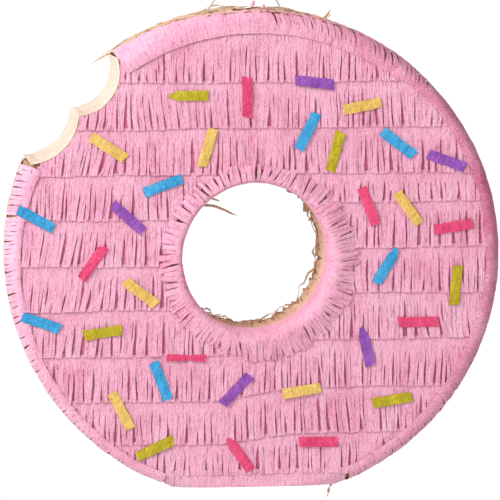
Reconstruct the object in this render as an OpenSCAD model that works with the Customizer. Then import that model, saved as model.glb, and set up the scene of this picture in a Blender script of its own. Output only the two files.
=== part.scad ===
// Giant donut pinata with a bite taken out of it, hung by a cord loop.
// X runs across the face, the iced front looks along -Y, and Z is up.
// The origin is the inside top of the hanging loop.

/* [Donut] */
// Radius of the rim over its tissue
rim_r = 203; // [202:0.5:206]
// Radius where the flat face turns into the shoulder
face_r = 195; // [194:0.5:198]
// Depth of each shoulder, from the face back to the full radius
shoulder = 10; // [8:0.5:12]
// Drop from the donut's centre to its flat base
base_drop = 190.5; // [189:0.5:194]
// Depth over the tissue on both faces
depth = 76; // [72:1:84]
// Radius of the hole over its tissue
hole_r = 62; // [58:0.5:64]
// Drop from the hanging loop to the donut's centre
hang_drop = 269; // [269:0.5:269]

/* [Board and tissue] */
// Thickness of the corrugated board
board = 2.4; // [2:0.1:3]
// Thickness of a layer of tissue fringe
skin = 1.2; // [1:0.1:1.4]
// Radius of the fringed collar round the hole
collar_r = 82; // [78:1:86]
// Height of one row of fringe
row_h = 38; // [38:1:38]
// Top edge of the first front row above the centre
first_row = 184; // [180:1:186]

/* [Fill flap] */
// Width of the fill opening in the back
opening_w = 90; // [80:1:92]
// Height of the fill opening
opening_h = 70; // [60:1:72]
// Bottom of the fill opening above the centre
opening_z = 94; // [92:1:96]
// How far the flap laps past the opening at its sides and bottom
flap_lap = 5; // [4:0.5:6]
// Thickness of the flap's card
flap_t = 1.6; // [1.2:0.1:2]

/* [Cord] */
// Diameter of the hanging cord
cord_d = 1.5; // [1.5:0.1:1.5]
// Diameter of the two holes that the cord passes through
cord_hole_d = 3; // [2.6:0.1:4]

/* [Sprinkles] */
// Length of a paper sprinkle
sprinkle_l = 33; // [28:1:36]
// Width of a paper sprinkle
sprinkle_w = 8.5; // [7:0.5:10]
// Thickness of a paper sprinkle
sprinkle_t = 0.5; // [0.4:0.1:0.8]

/* [Hidden] */
$fn = 96;

PINK = [0.93, 0.62, 0.72];
TAN = [0.85, 0.66, 0.52];
CREAM = [0.96, 0.9, 0.82];
CARD = [0.72, 0.56, 0.4];
TAPE = [0.88, 0.82, 0.66];
CORD = [0.78, 0.77, 0.75];

half = depth / 2;                  // tissue face, front and back
card_half = half - skin;           // outer face of the board
room_half = card_half - board;     // inner face of the board
card_face_r = face_r - skin;
card_rim_r = rim_r - skin;
card_hole_r = hole_r + skin;
card_base = base_drop - skin;
gap = 0.3;                         // between pieces that move past each other
seat = 0.1;                        // between a panel's edge and the wall round it

// The two scallops of the bite: centre x, centre z, radius
bites = [[-148, 155, 36], [-189, 123, 43.5]];

// The cord's holes, across the top of the rim
cord_holes = [-35, 26];
pivot_z = 202;
tail_top = pivot_z - 0.5;
plate_z = [189, 192];
plate_x = [-50, 41];
plate_half = 20;
knot_r = 3.4;

// Fringe seams of the front face, as heights above the centre
left_seams = [70, 33, -5, -42, -80];
right_seams = [70, 46, 8, -30, -68];
low_seams = [[-118, -108], [-154, -146], [-180, -180]];
split_x = 0;                       // where a seam steps from left to right

flap_w = opening_w + 2 * flap_lap;
flap_bottom = opening_z - flap_lap;
flap_top = opening_z + opening_h + 4;
flap_y = card_half + gap;          // the flap's inner face
hinge_y = flap_y + flap_t;
tape_h = 12;
tape_t = 0.3;
tab = [16, 0.8, 16];

// Route of the cord, from one hole up to the loop and down to the other hole
route = [
    [-35, 0, -66.5], [-31.5, 0, -61], [-28, 0, -56], [-21, 0, -45.8], [-14, 0, -35.5],
    [-7, -0.4, -25.3], [-3.5, -0.8, -20.2], [0, -0.9, -15], [3.2, -0.9, -10.6],
    [5.2, -0.7, -7], [5.6, -0.4, -3.8], [4.4, 0, -1], [2.3, 0, 0.4], [0, 0, 0.8],
    [-2.3, 0, 0.4], [-4.4, 0, -1], [-5.6, 0.4, -3.8], [-5.2, 0.7, -7],
    [-3.2, 0.9, -10.6], [0, 0.9, -15], [2.6, 0.8, -20.2], [5.2, 0.4, -25.3],
    [10.4, 0, -35.5], [15.6, 0, -45.8], [20.8, 0, -56], [23.4, 0, -61], [26, 0, -66.5]
];
cord_sides = 8;
knot_z = -15;
loop_knot_r = 2.8;

yellow_places = [
    [-122, 93, -33], [-40, 92, 73], [88, 125, 11], [127, 40, -54],
    [-96, -27, -38], [-112, -125, -63], [38, -111, 9]
];
lime_places = [
    [-56, 135, 0], [66, 88, 75], [167, -25, 84], [-127, -60, 8], [-84, -157, 24],
    [114, -120, 9]
];
rose_places = [
    [-7, 133, 90], [-135, -2, 55], [94, 42, -69], [165, 24, 9], [136, -55, 0],
    [-58, -82, -2], [-14, -163, -54], [52, -154, -1]
];
purple_places = [
    [49, 145, -7], [159, 79, -20], [-106, 35, -42], [-16, -109, 46], [92, -75, -76]
];
blue_places = [
    [43, 105, 63], [118, 94, -38], [-182, 35, -29], [-77, 61, 20],
    [-178, -51, -19], [109, -8, 57], [-79, -101, -69]
];

// The donut's own frame, with its centre at the middle of the hole
module at_donut() {
    translate([0, 0, -hang_drop]) children();
}

// A flat outline in X and Z, made solid from y0 to y1
module slab(y0, y1) {
    translate([0, y1, 0]) rotate([90, 0, 0]) linear_extrude(y1 - y0) children();
}

// A ring round the hole's axis, from points of radius and distance to the front
module ring(points) {
    rotate([90, 0, 0]) rotate_extrude() polygon(points);
}

module bite_outline(grow) {
    for (b = bites) translate([b[0], b[1]]) circle(r = b[2] + grow);
}

module face_outline(r, base, grow) {
    difference() {
        circle(r = r);
        translate([-r, -2 * r]) square([2 * r, 2 * r - base]);
        bite_outline(grow);
    }
}

// The whole donut's outer shape, with no hole, bite or base
module envelope() {
    ring([
        [0, half], [face_r, half], [rim_r, half - shoulder],
        [rim_r, shoulder - half], [face_r, -half], [0, -half]
    ]);
}

// The room inside the rim wall, with a seat's clearance all round
module inside_rim_wall() {
    end = room_half - seat;
    corner = card_half - shoulder - board / 2 - seat;
    wall_r = card_rim_r - board - seat;
    ring([
        [0, end], [card_face_r - seat, end], [wall_r, corner],
        [wall_r, -corner], [card_face_r - seat, -end], [0, -end]
    ]);
}

// The tissue under the base, from y0 to y1
module base_sheet(y0, y1) {
    intersection() {
        envelope();
        translate([-rim_r, y0, -base_drop]) cube([2 * rim_r, y1 - y0, skin]);
    }
}

// A ring that stops at the flat base and at the bite
module trimmed_ring(points, base, grow) {
    difference() {
        ring(points);
        translate([-rim_r, -depth, -2 * rim_r])
            cube([2 * rim_r, 2 * depth, 2 * rim_r - base]);
        slab(-depth, depth) bite_outline(grow);
    }
}

module cord_bores(z0, z1) {
    for (x = cord_holes)
        translate([x, 0, z0]) cylinder(d = cord_hole_d, h = z1 - z0);
}

// Board shell
module front_panel() color(CARD) at_donut()
    slab(-card_half, -room_half) difference() {
        face_outline(card_face_r - seat, card_base, skin);
        circle(r = card_hole_r);
    }

module back_panel() color(CARD) at_donut()
    slab(room_half, card_half) difference() {
        face_outline(card_face_r - seat, card_base, skin);
        circle(r = card_hole_r);
        translate([-opening_w / 2, opening_z]) square([opening_w, opening_h]);
    }

module rim_wall() color(CARD) at_donut()
    difference() {
        trimmed_ring([
            [card_face_r, card_half], [card_rim_r, card_half - shoulder],
            [card_rim_r, shoulder - card_half], [card_face_r, -card_half],
            [card_face_r, board / 2 - card_half],
            [card_rim_r - board, shoulder + board / 2 - card_half],
            [card_rim_r - board, card_half - shoulder - board / 2],
            [card_face_r, card_half - board / 2]
        ], card_base, skin);
        cord_bores(plate_z[1], rim_r);
    }

module base_wall() color(CARD) at_donut()
    intersection() {
        inside_rim_wall();
        translate([-rim_r, -card_half, -card_base]) cube([2 * rim_r, 2 * card_half, board]);
    }

module bite_wall() color(CARD) at_donut()
    slab(-room_half + seat, room_half - seat) intersection() {
        difference() {
            bite_outline(skin + board);
            bite_outline(skin);
        }
        circle(r = card_face_r - board);
    }

module hole_tube() color(CARD) at_donut()
    ring([
        [card_hole_r, room_half - seat], [card_hole_r + board, room_half - seat],
        [card_hole_r + board, seat - room_half], [card_hole_r, seat - room_half]
    ]);

module seam_tape(side) color(TAPE) at_donut()
    trimmed_ring([
        [card_face_r - 14, side * room_half], [card_face_r - 4, side * room_half],
        [card_face_r - 4, side * (room_half - 0.4)],
        [card_face_r - 14, side * (room_half - 0.4)]
    ], card_base - board - seat, skin + board + seat);
module front_seam_tape() seam_tape(1);
module back_seam_tape() seam_tape(-1);

// What holds the cord inside
module hanger_plate() color(CARD) at_donut()
    difference() {
        translate([plate_x[0], -plate_half, plate_z[0]])
            cube([plate_x[1] - plate_x[0], 2 * plate_half, plate_z[1] - plate_z[0]]);
        cord_bores(plate_z[0] - 1, plate_z[1] + 1);
    }

module stopper_knots() color(CORD) at_donut()
    for (x = cord_holes) translate([x, 0, plate_z[0] - knot_r - seat]) sphere(r = knot_r);

module cord_tails() color(CORD) at_donut()
    for (x = cord_holes)
        translate([x, 0, plate_z[0] - knot_r])
            cylinder(d = cord_d, h = tail_top - plate_z[0] + knot_r);

// Cord: a tube of rings along a smooth curve through the route's points
function spline(p0, p1, p2, p3, t) =
    0.5 * (2 * p1 + (p2 - p0) * t + (2 * p0 - 5 * p1 + 4 * p2 - p3) * t * t
        + (3 * p1 - p0 - 3 * p2 + p3) * t * t * t);
function path_point(k, t) = spline(
    route[max(k - 1, 0)], route[k], route[k + 1], route[min(k + 2, len(route) - 1)], t);
function unit(v) = v / norm(v);
cord_path = concat(
    [for (k = [0 : len(route) - 2], t = [0, 0.5]) path_point(k, t)], [route[len(route) - 1]]);
function way(i) = unit(cord_path[min(i + 1, len(cord_path) - 1)] - cord_path[max(i - 1, 0)]);
function side_way(i) = unit(cross([0, 1, 0], way(i)));

module hanging_cord() color(CORD) {
    last = len(cord_path) - 1;
    points = [
        for (i = [0 : last], s = [0 : cord_sides - 1])
            let (a = 360 * s / cord_sides, u = side_way(i), v = cross(way(i), u))
                cord_path[i] + cord_d / 2 * (cos(a) * u + sin(a) * v)
    ];
    skirt = [
        for (i = [0 : last - 1], s = [0 : cord_sides - 1])
            let (n = (s + 1) % cord_sides, a = i * cord_sides, b = a + cord_sides)
                [a + s, b + s, b + n, a + n]
    ];
    start_cap = [[for (s = [0 : cord_sides - 1]) s]];
    end_cap = [[for (s = [cord_sides - 1 : -1 : 0]) last * cord_sides + s]];
    polyhedron(points, concat(skirt, start_cap, end_cap));
}

module loop_knot() color(CORD)
    translate([0, 0, knot_z]) sphere(r = loop_knot_r);

// Fill flap, hinged along its top edge
module flap_zone() {
    translate([-flap_w / 2 - gap, flap_bottom - gap])
        square([flap_w + 2 * gap, flap_top - flap_bottom + 3 * gap]);
}

module fill_flap() color(CARD) at_donut()
    translate([-flap_w / 2, flap_y, flap_bottom])
        cube([flap_w, flap_t, flap_top - flap_bottom - gap]);

module flap_cover() color(TAN) at_donut()
    translate([-flap_w / 2, hinge_y, flap_bottom])
        cube([flap_w, skin, flap_top - tape_h - flap_bottom]);

module flap_tape_lower() color(TAPE) at_donut()
    translate([-flap_w / 2, hinge_y, flap_top - tape_h])
        cube([flap_w, tape_t, tape_h - gap]);

module flap_tape_upper() color(TAPE) at_donut()
    translate([-flap_w / 2, half, flap_top + 2 * gap]) cube([flap_w, tape_t, tape_h]);

module flap_pull_tab() color(CREAM) at_donut()
    translate([-tab[0] / 2, hinge_y + skin, flap_bottom - tab[2] / 2]) cube(tab);

// Front tissue
module pink_zone() {
    difference() {
        face_outline(card_face_r, base_drop, 0);
        circle(r = collar_r);
    }
}

module pink_piece() color(PINK) at_donut()
    slab(-half, -card_half) intersection() {
        pink_zone();
        children();
    }

module band(low, high, x0, x1) {
    translate([x0, low]) square([x1 - x0, high - low]);
}

module full_row(k) pink_piece() band(first_row - k * row_h, first_row + row_h - k * row_h,
    -rim_r, rim_r);
module left_row(k) pink_piece() band(left_seams[k], left_seams[k - 1], -rim_r, split_x);
module right_row(k) pink_piece() band(right_seams[k], right_seams[k - 1], split_x, rim_r);
module low_row(k) pink_piece() {
    top = k == 0 ? [left_seams[4], right_seams[4]] : low_seams[k - 1];
    band(low_seams[k][0], top[0], -rim_r, split_x);
    band(low_seams[k][1], top[1], split_x, rim_r);
}

module pink_top_strip() pink_piece() band(first_row, rim_r, -rim_r, rim_r);

module pink_base_strip() {
    pink_piece() band(-rim_r, low_seams[2][0], -rim_r, rim_r);
    color(PINK) at_donut() base_sheet(-card_half, 0);
}

module wrap_profile(side) {
    trimmed_ring([
        [card_face_r, side * half], [face_r, side * half],
        [rim_r, side * (half - shoulder)], [rim_r, 0], [card_rim_r, 0],
        [card_rim_r, side * (card_half - shoulder)], [card_face_r, side * card_half]
    ], card_base, 0);
}

module pink_rim_wrap() color(PINK) at_donut()
    difference() {
        wrap_profile(1);
        cord_bores(plate_z[1], rim_r + 1);
    }

module pink_hole_collar() color(PINK) at_donut()
    ring([
        [hole_r, half], [collar_r, half], [collar_r, card_half],
        [card_hole_r, card_half], [card_hole_r, 4], [hole_r, 4]
    ]);

// Back tissue
module tan_row(k) color(TAN) at_donut()
    slab(card_half, half) intersection() {
        difference() {
            face_outline(card_face_r, base_drop, 0);
            circle(r = hole_r);
            flap_zone();
        }
        band(k == 10 ? -rim_r : first_row - k * row_h,
            k == 1 ? rim_r : first_row + row_h - k * row_h, -rim_r, rim_r);
    }

module tan_rim_wrap() color(TAN) at_donut()
    difference() {
        wrap_profile(-1);
        cord_bores(plate_z[1], rim_r + 1);
    }

module tan_hole_wrap() color(TAN) at_donut()
    ring([[hole_r, 4], [card_hole_r, 4], [card_hole_r, -card_half], [hole_r, -card_half]]);

module tan_base_strip() color(TAN) at_donut() base_sheet(0, card_half);

// Cream paper on the wall of the bite
module cream_bite_cover() color(CREAM) at_donut()
    intersection() {
        slab(-card_half, card_half) difference() {
            bite_outline(skin);
            bite_outline(0);
        }
        ring([
            [0, card_half], [card_face_r, card_half],
            [card_rim_r, card_half - shoulder], [card_rim_r, shoulder - card_half],
            [card_face_r, -card_half], [0, -card_half]
        ]);
    }

// Paper sprinkles, one node for each colour
module sprinkles(places) at_donut()
    slab(-half - sprinkle_t, -half)
        for (p = places) translate([p[0], p[1]]) rotate(p[2])
            square([sprinkle_l, sprinkle_w], center = true);
module yellow_sprinkles() color([0.91, 0.74, 0.35]) sprinkles(yellow_places);
module lime_sprinkles() color([0.74, 0.65, 0.13]) sprinkles(lime_places);
module rose_sprinkles() color([0.9, 0.27, 0.46]) sprinkles(rose_places);
module purple_sprinkles() color([0.6, 0.36, 0.72]) sprinkles(purple_places);
module blue_sprinkles() color([0.2, 0.63, 0.86]) sprinkles(blue_places);

front_panel();
back_panel();
rim_wall();
base_wall();
bite_wall();
hole_tube();
front_seam_tape();
back_seam_tape();
hanger_plate();
stopper_knots();
cord_tails();
hanging_cord();
loop_knot();
fill_flap();
flap_cover();
flap_tape_lower();
flap_tape_upper();
flap_pull_tab();
pink_top_strip();
for (k = [1 : 3]) full_row(k);
for (k = [1 : 4]) left_row(k);
for (k = [1 : 4]) right_row(k);
for (k = [0 : 2]) low_row(k);
pink_base_strip();
pink_rim_wrap();
pink_hole_collar();
for (k = [1 : 10]) tan_row(k);
tan_rim_wrap();
tan_hole_wrap();
tan_base_strip();
cream_bite_cover();
yellow_sprinkles();
lime_sprinkles();
rose_sprinkles();
purple_sprinkles();
blue_sprinkles();
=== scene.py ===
import bmesh
import bpy
import math
import random
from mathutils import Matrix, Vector, noise


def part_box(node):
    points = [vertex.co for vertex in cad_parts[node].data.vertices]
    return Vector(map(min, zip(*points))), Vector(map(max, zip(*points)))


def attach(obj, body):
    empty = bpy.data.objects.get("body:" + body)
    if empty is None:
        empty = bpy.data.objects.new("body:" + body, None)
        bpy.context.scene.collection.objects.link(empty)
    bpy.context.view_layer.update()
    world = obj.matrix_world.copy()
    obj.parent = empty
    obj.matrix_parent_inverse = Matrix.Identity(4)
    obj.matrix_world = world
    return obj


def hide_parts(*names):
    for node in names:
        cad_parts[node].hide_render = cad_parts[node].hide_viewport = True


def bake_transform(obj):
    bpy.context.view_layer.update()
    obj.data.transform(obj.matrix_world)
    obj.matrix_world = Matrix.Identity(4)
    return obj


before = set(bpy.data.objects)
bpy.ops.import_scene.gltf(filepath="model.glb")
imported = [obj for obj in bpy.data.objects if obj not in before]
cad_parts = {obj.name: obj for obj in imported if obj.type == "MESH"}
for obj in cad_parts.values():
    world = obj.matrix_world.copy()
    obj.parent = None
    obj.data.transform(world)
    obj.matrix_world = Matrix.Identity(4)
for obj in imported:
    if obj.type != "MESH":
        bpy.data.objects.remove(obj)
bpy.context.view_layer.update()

scene = bpy.context.scene
scene.view_settings.view_transform = "Standard"
mm = 0.001


def boxMiddle(node):
    low, high = (Vector(p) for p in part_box(node))
    return (low + high) / 2


centre = boxMiddle("hole_tube")  # the donut's own measures, read off the frame
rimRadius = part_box("pink_rim_wrap")[1][0]
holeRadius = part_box("tan_hole_wrap")[1][0] - 1.2 * mm
baseDrop = centre.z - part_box("tan_base_strip")[0][2]
baseHalf = math.sqrt(rimRadius ** 2 - baseDrop ** 2) - 0.5 * mm
faceRadius = rimRadius - 11 * mm  # the face is flat up to here
bites = [(-0.148, 0.155, 0.036), (-0.189, 0.123, 0.0435)]


def place(x, y, z):  # a point given from the donut's centre, in metres
    return Vector((centre.x + x, y, centre.z + z))


cameraSettings = {"azimuth": -7.0, "elevation": 6.5, "distance": 4.5, "across": 0.4161,
                  "aimX": 0.0001, "aimZ": 0.0024}


def makeCamera(s):
    camera = bpy.data.cameras.new("camera")
    holder = bpy.data.objects.new("camera", camera)
    scene.collection.objects.link(holder)
    azimuth = math.radians(s["azimuth"])
    elevation = math.radians(s["elevation"])
    back = Vector((math.sin(azimuth) * math.cos(elevation),
                   -math.cos(azimuth) * math.cos(elevation), math.sin(elevation)))
    target = place(s["aimX"], 0, s["aimZ"])
    holder.location = target + back * s["distance"]
    holder.rotation_euler = (-back).to_track_quat("-Z", "Y").to_euler()
    camera.lens = camera.sensor_width * s["distance"] / s["across"]
    camera.clip_end = 30
    scene.camera = holder


makeCamera(cameraSettings)


def newObject(name, mesh):
    piece = bpy.data.objects.new(name, mesh)
    scene.collection.objects.link(piece)
    return piece


def meshPiece(name, points, faces, material, smooth=True):
    mesh = bpy.data.meshes.new(name)
    mesh.from_pydata([tuple(p) for p in points], [], faces)
    mesh.polygons.foreach_set("use_smooth", [smooth] * len(faces))
    mesh.materials.append(material)
    return newObject(name, mesh)


def plainCopy(piece):  # modifiers and node trees become a plain mesh
    bpy.context.view_layer.update()
    graph = bpy.context.evaluated_depsgraph_get()
    mesh = bpy.data.meshes.new_from_object(piece.evaluated_get(graph), depsgraph=graph,
                                           preserve_all_data_layers=True)
    old = piece.data
    piece.modifiers.clear()
    piece.data = mesh
    bpy.data.meshes.remove(old)
    mesh.name = piece.name
    mesh.set_sharp_from_angle(angle=math.radians(55))  # paper keeps its cut edges crisp
    return piece


def thicken(piece, thickness):
    shell = piece.modifiers.new("thickness", "SOLIDIFY")
    shell.thickness = thickness
    shell.offset = -1
    return plainCopy(piece)


def gridFaces(first, wide, tall):  # quads over a sheet of points, wide by tall
    corners = (first + j * wide + i for j in range(tall - 1) for i in range(wide - 1))
    return [(a, a + wide, a + wide + 1, a + 1) for a in corners]


def tubeFaces(first, rings, around):  # a closed tube over rings of points
    faces = []
    for j in range(rings - 1):
        for i in range(around):
            a, b = first + j * around + i, first + j * around + (i + 1) % around
            faces.append((a, b, b + around, a + around))
    ends = first, first + (rings - 1) * around
    caps = [tuple(end + i for i in range(around)) for end in ends]
    return faces + [caps[0][::-1], caps[1]]


# surface gives a point for u and v, each from 0 to 1
def gridPiece(name, surface, across, down, material, thickness=0.3 * mm):
    points = [surface(i / across, j / down) for j in range(down + 1) for i in range(across + 1)]
    piece = meshPiece(name, points, gridFaces(0, across + 1, down + 1), material)
    return thicken(piece, thickness)


def finishPiece(piece, slot, *nodes, body="carcass"):
    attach(piece, body)
    if nodes:
        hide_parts(*nodes)
    return piece


def curvePath(route, steps):  # a smooth line through the route's points
    line = []
    last = len(route) - 1
    for k in range(last):
        a, b, c, d = (Vector(route[min(max(k + s, 0), last)]) for s in (-1, 0, 1, 2))
        for s in range(steps):
            t = s / steps
            line.append(0.5 * (2 * b + (c - a) * t + (2 * a - 5 * b + 4 * c - d) * t * t
                               + (3 * b - a - 3 * c + d) * t ** 3))
    return line + [Vector(route[last])]


def lineFrames(line):  # two crosswise directions at each point, turning as little as they can
    frames = []
    side = None
    for i in range(len(line)):
        way = (line[min(i + 1, len(line) - 1)] - line[max(i - 1, 0)]).normalized()
        if side is None:
            side = way.orthogonal().normalized()
        side = (side - way * side.dot(way)).normalized()
        frames.append((side, way.cross(side)))
    return frames


def twinePiece(name, line, s, sides):  # strands that twist round a line
    strands, thin = s["strands"], s["diameter"] * 0.31
    frames = lineFrames(line)
    points, faces = [], []
    for k in range(strands):
        along = 0.0
        faces += tubeFaces(len(points), len(line), sides)
        for i, (side, up) in enumerate(frames):
            if i:
                along += (line[i] - line[i - 1]).length
            angle = 2 * math.pi * (k / strands + along / s["twist"])
            offset = s["diameter"] / 2 - thin
            middle = line[i] + offset * (math.cos(angle) * side + math.sin(angle) * up)
            for a in (2 * math.pi * corner / sides for corner in range(sides)):
                points.append(middle + thin * (math.cos(a) * side + math.sin(a) * up))
    return meshPiece(name, points, faces, twine)


class Term:  # one value in a node tree, written in sums like any number
    def __init__(self, nodes, socket):
        self.nodes, self.socket = nodes, socket

    def __add__(self, other):
        return self.nodes.math("ADD", self, other)

    def __sub__(self, other):
        return self.nodes.math("SUBTRACT", self, other)

    def __rsub__(self, other):
        return self.nodes.math("SUBTRACT", other, self)

    def __mul__(self, other):
        return self.nodes.math("MULTIPLY", self, other)

    def __truediv__(self, other):
        return self.nodes.math("DIVIDE", self, other)

    def __pow__(self, other):
        return self.nodes.math("POWER", self, other)


class Nodes:  # a short way to write node trees
    def __init__(self, tree):
        self.tree = tree

    def add(self, kind, inputs=(), **settings):
        node = self.tree.nodes.new(kind)
        for key, value in settings.items():
            setattr(node, key, value)
        for key, value in dict(inputs).items():
            if isinstance(value, Term):
                self.tree.links.new(value.socket, node.inputs[key])
            else:
                node.inputs[key].default_value = value
        return node

    def out(self, output, kind, inputs=(), **settings):
        return Term(self, self.add(kind, inputs, **settings).outputs[output])

    def math(self, operation, *terms):
        return self.out(0, "ShaderNodeMath", enumerate(terms), operation=operation)

    def vector(self, operation, *terms):
        output = 1 if operation == "LENGTH" else 0
        return self.out(output, "ShaderNodeVectorMath", enumerate(terms), operation=operation)

    def scaled(self, vector, size):
        return self.out(0, "ShaderNodeVectorMath", {0: vector, "Scale": size}, operation="SCALE")

    def noise(self, at, scale, detail=2.0, roughness=0.5, distortion=0.0):
        return self.out("Fac", "ShaderNodeTexNoise", {
            "Vector": at, "Scale": scale, "Detail": detail, "Roughness": roughness,
            "Distortion": distortion})

    def attribute(self, name, output="Fac"):
        return self.out(output, "ShaderNodeAttribute", attribute_name=name)

    def place(self):
        return self.out("Object", "ShaderNodeTexCoord")

    def ramp(self, factor, *stops):
        node = self.add("ShaderNodeValToRGB", {"Fac": factor})
        while len(node.color_ramp.elements) < len(stops):
            node.color_ramp.elements.new(0.5)
        for element, (where, colour) in zip(node.color_ramp.elements, stops):
            element.position = where
            element.color = colour
        return Term(self, node.outputs["Color"])

    def span(self, value, low, high, interpolation_type="LINEAR"):
        return self.out(0, "ShaderNodeMapRange", {
            "Value": value, "From Min": low, "From Max": high}, interpolation_type=interpolation_type)

    def mix(self, factor, a, b):
        return self.out(2, "ShaderNodeMix", {0: factor, 6: a, 7: b}, data_type="RGBA")


def newMaterial(name):
    material = bpy.data.materials.new(name)
    material.use_nodes = True
    material.node_tree.nodes.clear()
    return material, Nodes(material.node_tree)


def coat(n, colour, height, strength, distance, finish):  # colour, bump and gloss to the output
    normal = n.out(0, "ShaderNodeBump", {"Strength": strength, "Distance": distance,
                                         "Height": height})
    shader = n.out(0, "ShaderNodeBsdfPrincipled",
                   {"Base Color": colour, "Normal": normal, **finish})
    n.add("ShaderNodeOutputMaterial", {"Surface": shader})


def srgb(r, g, b):  # screen colour, 0 to 255, as a linear one
    linear = (((c / 255 + 0.055) / 1.055) ** 2.4 if c > 10 else c / 3294 for c in (r, g, b))
    return (*linear, 1)


def crepePaper(name, light, middle, deep, slitShadow, mottle, edge):
    material, n = newMaterial(name)
    grain = n.attribute("grain", "Vector")  # each tongue brings its own grain, shade and edge; the edge and some of the shade carry painted shade at the slits and on the rim's right side
    shade, rim, place = n.attribute("shade"), n.attribute("rim"), n.place()
    ridges = n.noise(n.vector("MULTIPLY", grain, (1900, 420, 1)), 1.0, 3, 0.6)
    fine = n.noise(place, 700, 3, 0.65)
    broad = n.noise(place, 38, 4, 0.6)
    tone = (ridges - 0.5) * (mottle * 1.6) + (fine - 0.5) * (mottle * 1.3)
    tone = tone + (broad - 0.5) * (mottle * 1.5) + 0.5 + (shade - 0.5) * 0.24
    colour = n.ramp(tone, (0.12, deep), (0.5, middle), (0.9, light))
    patchy = n.span(n.noise(place, 95), 0.4, 0.58)
    # painted shade: the tongues' free sides darken in patches toward the slit shadow colour, standing
    # in for the shade in the slits
    colour = n.mix(rim ** 7.0 * edge * patchy, colour, slitShadow)
    crumple = n.noise(place, 300, 4, 0.62, 1.4)
    streaks = n.noise(n.vector("MULTIPLY", grain, (620, 75, 1)), 1.0, 2, 0.5, 0.6)
    crease = n.span(streaks, 0.3, 0.42, "SMOOTHSTEP")  # painted shade: thin dark lines along the grain, where crease shade falls
    colour = n.mix((1.0 - crease) * 0.4, colour, slitShadow)
    coat(n, colour, ridges * 0.25 + fine * 0.2 + crumple + streaks * 0.7, 0.85, 1.9 * mm,
         {"Roughness": 0.82, "Specular IOR Level": 0.25, "Sheen Weight": 0.15,
          "Sheen Roughness": 0.5})
    return material


def smoothPaper(name, light, deep, scale=260, bumpHeight=0.4 * mm, strength=0.45):
    material, n = newMaterial(name)
    place = n.place()
    tooth = n.noise(place, scale * 3, 3, 0.6)
    cloud = n.noise(place, scale / 6, 4, 0.6)
    fold = n.math("ABSOLUTE", n.noise(place, scale * 0.9, 3, 0.5, 1.0) - 0.5)
    crease = n.span(fold, 0.0, 0.16)
    # painted shade: the colour darkens along the fold lines
    tone = (tooth * 0.35 + cloud * 0.65) * (crease * 0.2 + 0.8)
    coat(n, n.ramp(tone, (0.22, deep), (0.62, light)), tooth * 0.4 + crease * 0.5, strength,
         bumpHeight, {"Roughness": 0.78, "Specular IOR Level": 0.3})
    return material


def corrugatedCard(name):
    material, n = newMaterial(name)
    place = n.place()
    flutes = n.out("Fac", "ShaderNodeTexWave", {"Scale": 45, "Distortion": 0.4, "Detail": 1,
                                                "Vector": place}, bands_direction="Z")
    fibres = n.noise(n.vector("MULTIPLY", place, (1, 1, 6)), 160, 6, 0.7)
    # the faint flute bands in the colour are partly the liner's own marks and partly painted shade of
    # the flutes
    tone = fibres * 0.6 + n.noise(place, 18, 3) * 0.4 + flutes * 0.08
    colour = n.ramp(tone, (0.3, srgb(140, 104, 70)), (0.7, srgb(190, 152, 112)))
    coat(n, colour, flutes * 0.7 + fibres * 0.3, 0.35, 0.8 * mm,
         {"Roughness": 0.88, "Specular IOR Level": 0.2})
    return material


def twineFibre(name, light, deep):
    material, n = newMaterial(name)
    fibres = n.noise(n.vector("MULTIPLY", n.place(), (1, 1, 0.35)), 2600, 4, 0.7)
    coat(n, n.ramp(fibres, (0.3, deep), (0.68, light)), fibres, 0.6, 0.2 * mm,
         {"Roughness": 0.9, "Sheen Weight": 0.2})
    return material


pinkCrepe = crepePaper("pinkCrepe", srgb(255, 205, 225), srgb(252, 176, 203), srgb(218, 108, 148),
                       srgb(150, 40, 82), mottle=0.42, edge=0.9)
tanCrepe = crepePaper("tanCrepe", srgb(252, 220, 192), srgb(236, 190, 154), srgb(196, 142, 104),
                      srgb(140, 92, 60), mottle=0.5, edge=0.6)
creamPaper = smoothPaper("creamPaper", srgb(230, 208, 192), srgb(194, 168, 150), scale=300)
maskingTape = smoothPaper("maskingTape", srgb(240, 226, 190), srgb(205, 186, 146), scale=420)
pullTabPaper = smoothPaper("pullTabPaper", srgb(250, 238, 220), srgb(214, 196, 170))
tanCurl = smoothPaper("tanCurl", srgb(240, 206, 172), srgb(186, 142, 108), scale=500)
pinkPlain = smoothPaper("pinkPlain", srgb(250, 186, 208), srgb(226, 142, 174), scale=300)
card = corrugatedCard("corrugatedCard")
twine = twineFibre("greyTwine", srgb(222, 220, 216), srgb(150, 147, 143))
sprinklePapers = {"yellow": (srgb(248, 212, 126), srgb(222, 170, 66)),
                  "lime": (srgb(214, 196, 52), srgb(164, 142, 12)),
                  "rose": (srgb(250, 96, 142), srgb(216, 46, 98)),
                  "purple": (srgb(176, 106, 206), srgb(122, 56, 152)),
                  "blue": (srgb(84, 186, 240), srgb(24, 132, 190))}


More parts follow.
